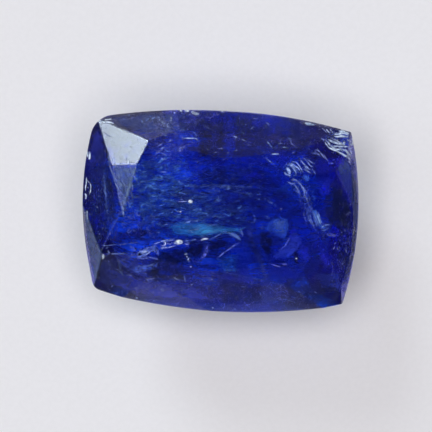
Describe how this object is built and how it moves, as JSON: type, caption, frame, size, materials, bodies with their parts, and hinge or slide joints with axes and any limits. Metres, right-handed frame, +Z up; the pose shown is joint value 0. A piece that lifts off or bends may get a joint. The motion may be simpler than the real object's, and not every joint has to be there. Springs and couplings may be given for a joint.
{
  "type": "cushion-cut tanzanite gemstone",
  "caption": "Loose faceted violet-blue gemstone, cushion cut with a brilliant crown and stepped pavilion, resting table up on a small flat culet facet.",
  "frame": {"origin": "middle of the girdle's length and width, on the plane of the culet facet the stone stands on", "axes": "+Z up, square to the table; +X along the stone's length; +Y across it, towards the side that is up in the usual view from above"},
  "size_m": [0.011, 0.0081, 0.0053],
  "materials": {
    "tanzanite": "polished transparent violet-blue zoisite, heavily included, with worn facet edges"
  },
  "bodies": {
    "root": {"gemstone": "tanzanite"}
  },
  "joints": []
}
